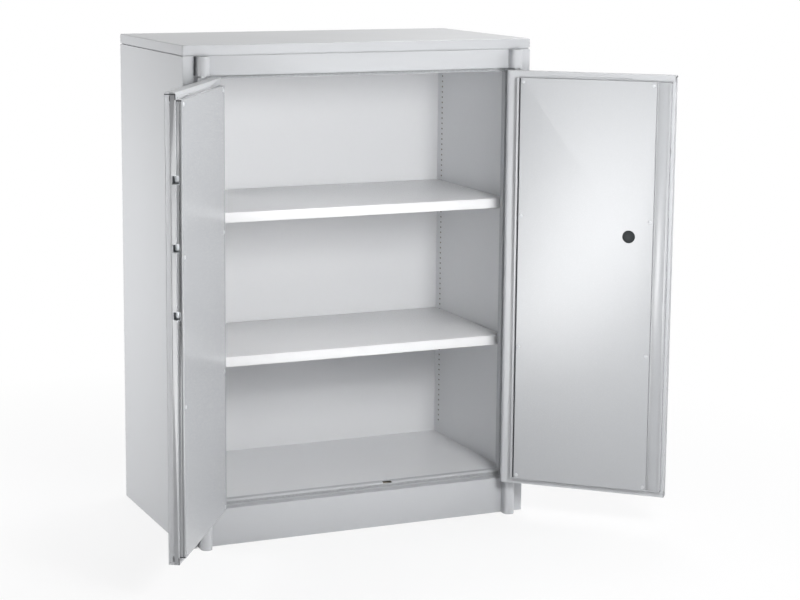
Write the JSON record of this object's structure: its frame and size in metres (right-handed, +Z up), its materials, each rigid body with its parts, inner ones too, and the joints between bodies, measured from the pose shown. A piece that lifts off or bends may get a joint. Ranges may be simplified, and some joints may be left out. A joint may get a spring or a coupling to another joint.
{
  "type": "fireproof cabinet",
  "caption": "Steel cabinet with stepped double-wall doors on round hinge columns, fire board in every wall, rod and bolt lock and adjustable shelves.",
  "frame": {"origin": "centre of the footprint on the floor, midway between the side panels and midway between the body's front and back faces, without the hinge columns", "axes": "+Z up, +Y to the back, +X to the right as seen from the front; the doors open towards -Y"},
  "size_m": [1.2975, 0.8799, 1.2],
  "materials": {
    "body_paint": "satin",
    "lining_paint": "satin",
    "door_lining_paint": "satin",
    "board": "matte",
    "zinc_steel": "satin",
    "screw_steel": "satin",
    "cylinder_chrome": "polished",
    "brass": "satin",
    "seal": "matte",
    "black_plastic": "matte"
  },
  "bodies": {
    "carcass": {"top_plate": "body_paint", "top_filler_board": "board", "body_top_sheet": "body_paint", "side_panel_left": "body_paint", "side_panel_right": "body_paint", "back_panel": "body_paint", "bottom_sheet": "body_paint", "header": "body_paint", "plinth": "body_paint", "lintel": "body_paint", "sill": "body_paint", "jamb_left": "body_paint", "jamb_right": "body_paint", "lining_left": "lining_paint", "lining_right": "lining_paint", "lining_back": "lining_paint", "lining_ceiling": "lining_paint", "cabinet_floor": "lining_paint", "board_left": "board", "board_right": "board", "board_back": "board", "board_top": "board", "board_floor": "board", "post_upper_left": "body_paint", "post_upper_right": "body_paint", "post_lower_left": "body_paint", "post_lower_right": "body_paint", "hinge_pins": "zinc_steel", "thrust_washers": "brass", "frame_seal": "seal", "upper_shelf": "lining_paint", "lower_shelf": "lining_paint", "shelf_clips": "zinc_steel"},
    "left_door": {"left_shell": "body_paint", "left_column": "body_paint", "left_bushes": "zinc_steel", "left_board": "board", "left_frame": "door_lining_paint", "left_panel": "door_lining_paint", "left_screws": "screw_steel", "bolt_keeps": "zinc_steel"},
    "right_door": {"right_shell": "body_paint", "right_column": "body_paint", "right_bushes": "zinc_steel", "right_board": "board", "right_frame": "door_lining_paint", "right_panel": "door_lining_paint", "right_screws": "screw_steel", "edge_cover": "door_lining_paint", "lock_plate": "zinc_steel", "key_cylinder": "cylinder_chrome", "spindle_cap": "black_plastic"},
    "handle": {"lock_disc": "zinc_steel", "turning_grip": "black_plastic"},
    "bolts": {"bolt_bar": "zinc_steel"},
    "rod_up": {"upper_rod": "zinc_steel"},
    "rod_down": {"lower_rod": "zinc_steel"},
    "key": {"key_plug": "brass"},
    "left_bolt_up": {"edge_bolt_upper": "zinc_steel"},
    "left_bolt_down": {"edge_bolt_lower": "zinc_steel"}
  },
  "joints": [
    {"name": "left_door_hinge", "type": "hinge", "parent": "carcass", "child": "left_door", "pos_m": [-0.404, -0.265, 0.1], "axis": [0, 0, 1], "range_deg": [-57.2, 122.8]},
    {"name": "right_door_hinge", "type": "hinge", "parent": "carcass", "child": "right_door", "pos_m": [0.404, -0.265, 0.1], "axis": [0, 0, 1], "range_deg": [-137.3, 42.7]},
    {"name": "handle_turn", "type": "hinge", "parent": "right_door", "child": "handle", "pos_m": [0.61577, -0.48083, 0.7355], "axis": [0.6782, 0.7349, 0], "range_deg": [-1.2, 91.2]},
    {"name": "bolt_slide", "type": "slide", "parent": "right_door", "child": "bolts", "axis": [0.7349, -0.6782, 0], "range_m": [-0.0003, 0.02293]},
    {"name": "upper_rod_slide", "type": "slide", "parent": "right_door", "child": "rod_up", "axis": [0, 0, 1], "range_m": [-0.0003, 0.02293]},
    {"name": "lower_rod_slide", "type": "slide", "parent": "right_door", "child": "rod_down", "axis": [0, 0, -1], "range_m": [0, 0.02263]},
    {"name": "key_turn", "type": "hinge", "parent": "right_door", "child": "key", "pos_m": [0.61577, -0.48083, 0.793], "axis": [0.6782, 0.7349, 0], "range_deg": [0, 90]},
    {"name": "upper_edge_bolt_slide", "type": "slide", "parent": "left_door", "child": "left_bolt_up", "axis": [0, 0, 1], "range_m": [0, 0.012]},
    {"name": "lower_edge_bolt_slide", "type": "slide", "parent": "left_door", "child": "left_bolt_down", "axis": [0, 0, -1], "range_m": [0, 0.012]}
  ],
  "couplings": [
    {"joint": "handle_turn", "follows": "lower_rod_slide", "rad_per_m": 69.42},
    {"joint": "bolt_slide", "follows": "lower_rod_slide", "ratio": 1},
    {"joint": "upper_rod_slide", "follows": "lower_rod_slide", "ratio": 1}
  ]
}
